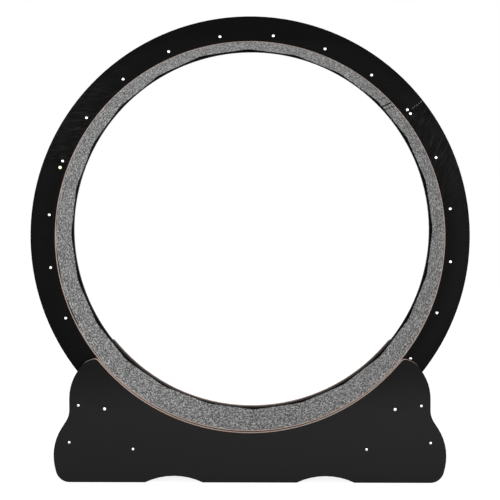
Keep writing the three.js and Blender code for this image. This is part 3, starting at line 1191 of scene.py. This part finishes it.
@dataclass(frozen=True)
class Rims:
    """The two rims, each of three board segments, with the screws that hold the deck."""

    nodes: dict[str, Piece]
    axle: float
    segments: int = 3
    joint_angle: float = radians(38.45)
    screw_circle: float = 459.4 * MM
    screw_pitch: float = radians(15.08)
    end_screw: float = radians(59.29)
    drill_shifts: tuple[float, ...] = (0.0, radians(0.3), radians(-0.35))
    streaks: tuple[float, float] = (-0.16, -0.36)
    odd_screw: int = 9
    odd_shift: float = radians(0.55)
    odd_head: float = 3.9 * MM

    def middle(self, index: int) -> float:
        """The direction of a segment's middle, from +X towards +Z."""
        span = tau / self.segments
        return self.joint_angle + (index + 0.5) * span

    def build(self) -> None:
        """Makes the six segments and their screws."""
        for side in ("front", "rear"):
            for index in range(self.segments):
                self._segment(side, index)
            self._screws(side)

    def _segment(self, side: str, index: int) -> None:
        """One segment, with the wood grain along its chord."""
        name = f"{side}_rim_segment_{index + 1}"
        along_chord = self.middle(index) - radians(90)
        face = Laminate(
            f"rim_laminate_{index + 1}",
            RIM_BLACK,
            RIM_STREAK,
            GrainAxis.X,
            *self.streaks,
            turn=along_chord,
        )
        edge = RIM_EDGE if side == "front" else STAINED_EDGE
        place = Matrix.Translation((0, 0, self.axle))
        Panel(self.nodes[name], face, edge).build("wheel", "rim_board", place)

    def _screws(self, side: str) -> None:
        """One screw for each end of a deck board, and a pair at each joint of the rim."""
        low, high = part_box(f"{side}_rim_segment_1")
        face = low.y if side == "front" else high.y
        shape = Shape()
        screw, odd_screw = WoodScrew(), WoodScrew(head_radius=self.odd_head)
        chance = random.Random(side)
        places = []
        for index in range(self.segments):
            shift = self.drill_shifts[index]
            steps = [k * self.screw_pitch + shift for k in range(-3, 4)]
            offsets = [-self.end_screw, *steps, self.end_screw]
            places += [self.middle(index) + offset for offset in offsets]
        for number, angle in enumerate(places):
            odd = side == "front" and number == self.odd_screw
            angle += self.odd_shift if odd else 0.0
            x = self.screw_circle * cos(angle)
            z = self.axle + self.screw_circle * sin(angle)
            turn = chance.uniform(0, pi / 2)
            if odd:
                # the bright steel middle of this yellow-zinc head is a painted highlight
                odd_screw.add(shape, x, face, z, turn, outer_slot=1)
            else:
                screw.add(shape, x, face, z, turn)
        made = shape.build(f"{side}_rim_screws", [STEEL, YELLOW_ZINC])
        stand_in(made, "wheel", "bright_steel")


@dataclass(frozen=True)
class DeckLine:
    """The way round the deck: straight along each board, with a bend at each corner."""

    axle: float
    flat_radius: float
    boards: int = 24
    first_board: float = radians(38.45)
    bend_radius: float = 92 * MM

    def run(self, start: float, end: float, step: float) -> list[tuple[Vector, Vector]]:
        """Points along the line between two directions from the axle.

        Args:
            start: the first point's direction, from +X towards +Z.
            end: the last point's direction, above start.
            step: the distance between points.

        Returns:
            Each point with its normal, which looks away from the axle.
        """
        count = max(2, round((end - start) * self.flat_radius / step))
        return [self.at(start + (end - start) * i / count) for i in range(count + 1)]

    def at(self, direction: float) -> tuple[Vector, Vector]:
        """The point and the normal in one direction from the axle."""
        half = pi / self.boards
        number = round((direction - self.first_board) / (2 * half))
        middle = self.first_board + number * 2 * half
        off = direction - middle
        corner = self.flat_radius / cos(half)
        bend_centre = corner - self.bend_radius / cos(half)
        bend_start = atan2(bend_centre * sin(half), self.flat_radius)
        if abs(off) <= bend_start:
            radius, lean = self.flat_radius / cos(off), middle
        else:
            gap = half - abs(off)
            inner = bend_centre * cos(gap)
            radius = inner + sqrt(self.bend_radius ** 2 - (bend_centre * sin(gap)) ** 2)
            tilt = asin(max(-1.0, min(1.0, bend_centre * sin(gap) / self.bend_radius)))
            lean = direction - copysign(tilt, off)
        point = Vector((radius * cos(direction), 0, self.axle + radius * sin(direction)))
        return point, Vector((cos(lean), 0, sin(lean)))


class Stretch(Enum):
    """The part of the carpet's width that a lift moves."""

    FRONT_EDGE = -1
    WHOLE = 0
    REAR_EDGE = 1


@dataclass(frozen=True)
class Lift:
    """A place where the carpet stands off the deck, as soft carpet does."""

    direction: float
    spread: float
    height: float
    stretch: Stretch = Stretch.WHOLE
    curl_start: float = 0.7

    def at(self, direction: float, across: float) -> float:
        """How far the carpet stands off.

        Args:
            direction: the direction from the axle line, from +X towards +Z.
            across: the place across the carpet, from -1 at its front edge to 1.

        Returns:
            The distance, in metres.
        """
        off = remainder(direction - self.direction, tau) / self.spread
        height = self.height * exp(-off * off)
        if self.stretch is Stretch.WHOLE:
            return height
        curl = (across * self.stretch.value - self.curl_start) / (1 - self.curl_start)
        return height * max(0.0, curl) ** 2


@dataclass(frozen=True)
class CarpetRunner:
    """The carpet runner that lines the deck, with bound edges and ends that meet in a seam."""

    line: DeckLine
    half_width: float
    thickness: float
    seam: float = radians(43.5)
    seam_gap: float = 0.6 * MM
    edge_binding: float = 4.0 * MM
    end_binding: float = 1.5 * MM
    pile: float = 0.8 * MM
    grain: float = 3.2 * MM
    pile_seed: int = 5
    back_every: int = 7
    stitch: float = 2.6 * MM
    stitch_steps: int = 4
    stitch_height: float = 0.3 * MM
    end_stitch_height: float = 0.24 * MM
    binding_rounding: float = 1.6 * MM
    clearance: float = 0.05 * MM
    hems: tuple[tuple[float, float], ...] = ((-9.4 * MM, 0.9 * MM), (18.0 * MM, 0.45 * MM))
    hem_stitch: float = 4.4 * MM
    hem_pitch: float = 5.0 * MM
    hem_height: float = 0.6 * MM
    hem_sides: int = 8
    lifts: tuple[Lift, ...] = (
        Lift(radians(62), radians(26), 2.8 * MM),
        Lift(radians(126), radians(12), 2.2 * MM),
        Lift(radians(163), radians(26), 2.2 * MM),
        Lift(radians(280), radians(50), 2.9 * MM),
        Lift(radians(200), radians(26), 5.5 * MM, Stretch.FRONT_EDGE),
        Lift(radians(249), radians(15), 3.8 * MM, Stretch.REAR_EDGE),
    )

    def _laid(self, point: Vector, normal: Vector, y: float) -> Vector:
        """A point of the deck's line moved across to y, and off the deck where the carpet lifts."""
        direction = atan2(point.z - self.line.axle, point.x)
        lift = sum(lift.at(direction, y / self.half_width) for lift in self.lifts)
        return point - normal * lift + Vector((0, y, 0))

    def build(self) -> None:
        """Makes the carpet, its bound long edges and its bound ends."""
        carpet = self._carpet()
        stand_in(carpet, "wheel", "carpet", "carpet_runner")
        bindings = [self._edge_binding(side, sign) for side, sign in (("front", -1), ("rear", 1))]
        bindings += [self._end_binding(), self._hem_stitches()]
        for binding in bindings:
            stand_in(binding, "wheel", "carpet")
        width, length = self._flat_size()

    def _reach(self, margin: float) -> tuple[float, float]:
        """The directions of the runner's two ends, drawn in by a margin."""
        cut = (self.seam_gap / 2 + margin) / self.line.flat_radius
        return self.seam + cut, self.seam + tau - cut

    def _flat_size(self) -> tuple[float, float]:
        """The width and the length of the carpet between its bindings, laid flat."""
        start, end = self._reach(self.end_binding)
        run = self.line.run(start, end, self.grain)
        middle = [point + normal * (self.thickness / 2) for point, normal in run]
        length = sum((b - a).length for a, b in zip(middle, middle[1:]))
        return 2 * (self.half_width - self.edge_binding), length

    def _carpet(self) -> Piece:
        """A closed strip whose face has the small ups and downs of its pile."""
        start, end = self._reach(self.end_binding)
        run = self.line.run(start, end, self.grain)
        inside = self.half_width - self.edge_binding
        across = round(2 * inside / self.grain)
        chance = random.Random(self.pile_seed)
        shape = Shape()
        face_rows, back_rows = [], []
        for point, normal in run:
            face, back = [], []
            for k in range(across + 1):
                laid = self._laid(point, normal, inside * (2 * k / across - 1))
                height = self.pile * chance.random()
                at_edge = k in (0, across)
                face.append(laid + normal * (self.pile if at_edge else self.pile - height))
                if at_edge or k % self.back_every == 0:
                    back.append(laid + normal * self.thickness)
            face_rows.append(shape.row(face))
            back_rows.append(shape.row(back))
        shape.skin(face_rows, closed=False)
        shape.skin(back_rows, closed=False)
        for k in (0, -1):
            shape.bridge([row[k] for row in face_rows], [row[k] for row in back_rows], closed=False)
        for face_row, back_row in ((face_rows[0], back_rows[0]), (face_rows[-1], back_rows[-1])):
            shape.faces.append(((*face_row, *reversed(back_row)), 0, False))
        finish = replace(CARPET, turn=self.seam + pi)
        place = Matrix.Translation((0, 0, self.line.axle))
        return shape.build("carpet_pile", [finish], place)

    def _section(self, width: float, stitch_height: float, step: int) -> list[Point]:
        """A binding's section at one step of a stitch.

        Args:
            width: how wide the binding is.
            stitch_height: how far a stitch stands up from the carpet's face at its middle.
            step: the step, of which each stitch has a few.

        Returns:
            The section's points, across the strip and down from the carpet's face.
        """
        top = -stitch_height / 2 * (1 - cos(tau * step / self.stitch_steps))
        return softened(block(0.0, width, top, self.thickness), self.binding_rounding)

    def _edge_binding(self, side: str, sign: int) -> Piece:
        """Overlock stitches wrapped round one long edge."""
        start, end = self._reach(0.0)
        run = self.line.run(start, end, self.stitch / self.stitch_steps)
        inner = self.half_width - self.edge_binding + self.clearance
        shape = Shape()
        rows = []
        for i, (point, normal) in enumerate(run):
            section = self._section(self.edge_binding, self.stitch_height, i)
            rows.append(shape.row(
                self._laid(point, normal, sign * (inner + offset)) + normal * depth
                for offset, depth in section
            ))
        shape.bar(rows)
        return shape.build(f"{side}_edge_binding", [BINDING])

    def _end_binding(self) -> Piece:
        """The stitched ends on both sides of the seam, between the edge bindings."""
        inside = self.half_width - self.edge_binding - 2 * self.clearance
        width = self.end_binding - self.clearance
        count = round(2 * inside / (self.stitch / self.stitch_steps))
        shape = Shape()
        for sign, direction in zip((1, -1), self._reach(0.0)):
            point, normal = self.line.at(direction)
            along = Vector((-normal.z, 0, normal.x)) * sign
            rows = []
            for i in range(count + 1):
                y = inside * (2 * i / count - 1)
                section = self._section(width, self.end_stitch_height, i)
                rows.append(shape.row(
                    self._laid(point, normal, y) + along * offset + normal * depth
                    for offset, depth in section
                ))
            shape.bar(rows)
        return shape.build("seam_binding", [BINDING])

    def _hem_stitches(self) -> Piece:
        """The rows of stitches that hold the runner's two hems, one on each side of the seam."""
        inside = self.half_width - self.edge_binding - self.hem_pitch
        count = round(2 * inside / self.hem_pitch)
        shape = Shape()
        for distance, half_width in self.hems:
            point, normal = self.line.at(self.seam + distance / self.line.flat_radius)
            along = Vector((-normal.z, 0, normal.x))
            for number in range(count + 1):
                middle = inside * (2 * number / count - 1)
                rows = []
                for share in (-1.0, -0.6, 0.0, 0.6, 1.0):
                    fullness = 0.35 + 0.65 * sqrt(1 - share * share)
                    laid = self._laid(point, normal, middle + share * self.hem_stitch / 2)
                    rows.append(shape.row(
                        laid
                        + along * (half_width * fullness * cos(turn))
                        + normal * (self.hem_height * fullness * sin(turn))
                        for turn in circle(self.hem_sides)
                    ))
                shape.bar(rows)
        return shape.build("hem_stitches", [BINDING])


@dataclass(frozen=True)
class Ring:
    """Everything that turns about the axle line."""

    frame: dict[str, Any]
    boards: int = 24

    def build(self) -> None:
        """Makes the rims, the deck, the hook tape and the carpet."""
        nodes = self.frame["nodes"]
        axle = next(j for j in self.frame["joints"] if j["name"] == "wheel_spin")["pos_m"][2]
        Rims(nodes, axle).build()
        plain = PlainBoards(nodes)
        for number in range(1, self.boards + 1):
            plain.dress(f"deck_board_{number:02d}", DECK_LAMINATE, BOARD_EDGE)
        for name in ("hook_tape_front", "hook_tape_rear"):
            nodes[name].data.materials.clear()
            nodes[name].data.materials.append(HOOK_TAPE.material())
        low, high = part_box("carpet_runner")
        face, back = self._radii(nodes["carpet_runner"], axle)
        line = DeckLine(axle, face)
        CarpetRunner(line, (high.y - low.y) / 2, back - face).build()

    @staticmethod
    def _radii(carpet: Piece, axle: float) -> tuple[float, float]:
        """The distances from the axle line to the flats of the carpet's face and back."""
        flats: dict[bool, list[tuple[float, float]]] = {False: [], True: []}
        for polygon in carpet.data.polygons:
            offset = (polygon.center - Vector((0, 0, axle))).dot(polygon.normal)
            if abs(polygon.normal.y) < 0.1:
                flats[offset > 0].append((polygon.area, abs(offset)))
        return max(flats[False])[1], max(flats[True])[1]


# ---- The base ----


@dataclass(frozen=True)
class Base:
    """The two lobed plates, the members between them and their screws."""

    nodes: dict[str, Piece]
    screws: tuple[Point, ...] = (
        (390.2 * MM, 176.9 * MM),
        (411.6 * MM, 92.0 * MM),
        (266.1 * MM, 76.8 * MM),
    )
    screw_head: float = 2.95 * MM

    def build(self) -> None:
        """Makes the plates with their screws, and dresses the cross members."""
        for side in ("front", "rear"):
            self._plate(side)
            self._screws(side)
        plain = PlainBoards(self.nodes)
        for side in ("left", "right"):
            plain.dress(f"{side}_end_board", DECK_LAMINATE, BOARD_EDGE)
            plain.dress(f"{side}_cross_rail", DECK_LAMINATE)

    def _plate(self, side: str) -> None:
        """One plate, from its node's outline and bolt holes."""
        node = self.nodes[f"{side}_base_plate"]
        Panel(node, PLATE_LAMINATE, BOARD_EDGE).build("base", "base_board")

    def _screws(self, side: str) -> None:
        """The screws into the end boards and the cross rails."""
        low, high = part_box(f"{side}_base_plate")
        face = low.y if side == "front" else high.y
        shape = Shape()
        screw = WoodScrew(head_radius=self.screw_head)
        chance = random.Random(f"base {side}")
        for sign in (-1, 1):
            for x, z in self.screws:
                screw.add(shape, sign * x, face, z, chance.uniform(0, pi / 2))
        stand_in(shape.build(f"{side}_base_screws", [STEEL]), "base", "bright_steel")


# ---- The studio ----


@dataclass(frozen=True)
class SoftLamp:
    """One large lamp."""

    name: str
    place: Triple
    size: tuple[float, float]
    power: float

    def build(self, target: Vector) -> None:
        """Makes the lamp, aimed at a target."""
        data = bpy.data.lights.new(self.name, "AREA")
        data.shape = "RECTANGLE"
        data.size, data.size_y = self.size
        data.energy = self.power
        lamp = linked(self.name, data)
        lamp.location = self.place
        lamp.rotation_euler = (target - lamp.location).to_track_quat("-Z", "Y").to_euler()


@dataclass(frozen=True)
class Studio:
    """The camera, the lamps, the pale floor and the white surroundings."""

    camera_place: Triple = (0.0393, -3.6122, 0.7289)
    pitch_down: float = radians(3.309)
    yaw_left: float = radians(0.647)
    focal_pixels: float = 1511.9
    picture_pixels: float = 500.0
    sensor: float = 36.0
    floor_size: float = 60.0
    world_light: float = 0.45
    far_limit: float = 200.0
    aim: Triple = (0, 0, 0.5)
    lamps: tuple[SoftLamp, ...] = (
        SoftLamp("left_lamp", (-1.5, -3.2, 1.0), (1.6, 0.8), 25.0),
        SoftLamp("right_lamp", (1.5, -3.2, 1.0), (1.6, 0.8), 15.0),
        SoftLamp("low_right_lamp", (1.3, -2.9, 0.25), (1.8, 0.45), 26.0),
        SoftLamp("top_lamp", (0.0, 0.0, 3.4), (3.0, 3.0), 40.0),
        SoftLamp("rear_left_lamp", (-2.6, 2.8, 0.25), (2.4, 0.45), 36.0),
        SoftLamp("rear_right_lamp", (2.6, 2.8, 0.25), (2.4, 0.45), 45.0),
    )

    def build(self) -> None:
        """Sets up everything round the wheel."""
        self._camera()
        self._world()
        self._floor()
        for lamp in self.lamps:
            lamp.build(Vector(self.aim))
        bpy.context.scene.view_settings.view_transform = "Standard"

    def _camera(self) -> None:
        """A long lens at the height of a table, straight in front."""
        data = bpy.data.cameras.new("camera")
        data.sensor_width = self.sensor
        data.lens = self.focal_pixels * self.sensor / self.picture_pixels
        data.clip_end = self.far_limit
        camera = linked("camera", data)
        camera.location = self.camera_place
        camera.rotation_euler = (radians(90) - self.pitch_down, 0, self.yaw_left)
        bpy.context.scene.camera = camera

    def _world(self) -> None:
        """White to rays that look at it, and softer as a source of light."""
        world = bpy.data.worlds.new("studio")
        world.use_nodes = True
        graph = Graph(world.node_tree)
        seen = graph.looking()
        strength = self.world_light + (1.0 - self.world_light) * seen
        sky = graph.add("ShaderNodeBackground", None, {"Color": grey(255), "Strength": strength})
        graph.finish(sky, "ShaderNodeOutputWorld")
        bpy.context.scene.world = world

    def _floor(self) -> None:
        """A wide sheet on the ground."""
        half = self.floor_size / 2
        shape = Shape()
        corners = [(-half, -half), (half, -half), (half, half), (-half, half)]
        shape.cap([shape.row(Vector((x, y, 0)) for x, y in corners)])
        shape.build("floor", [FLOOR])


def main() -> None:
    """Builds the studio, the ring, the rollers and the base."""
    logging.basicConfig(level=logging.INFO, format="%(message)s")
    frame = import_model()
    Studio().build()
    Ring(frame).build()
    Base(frame["nodes"]).build()
    for joint in frame["joints"]:
        if joint["name"].endswith("_roller_spin"):
            corner = joint["name"].removesuffix("_roller_spin")
            x, _, z = joint["pos_m"]
            side = -1 if corner.startswith("front") else 1
            GuideRoller(corner, joint["child"], (x, z), side).build()


if __name__ == "__main__":
    main()
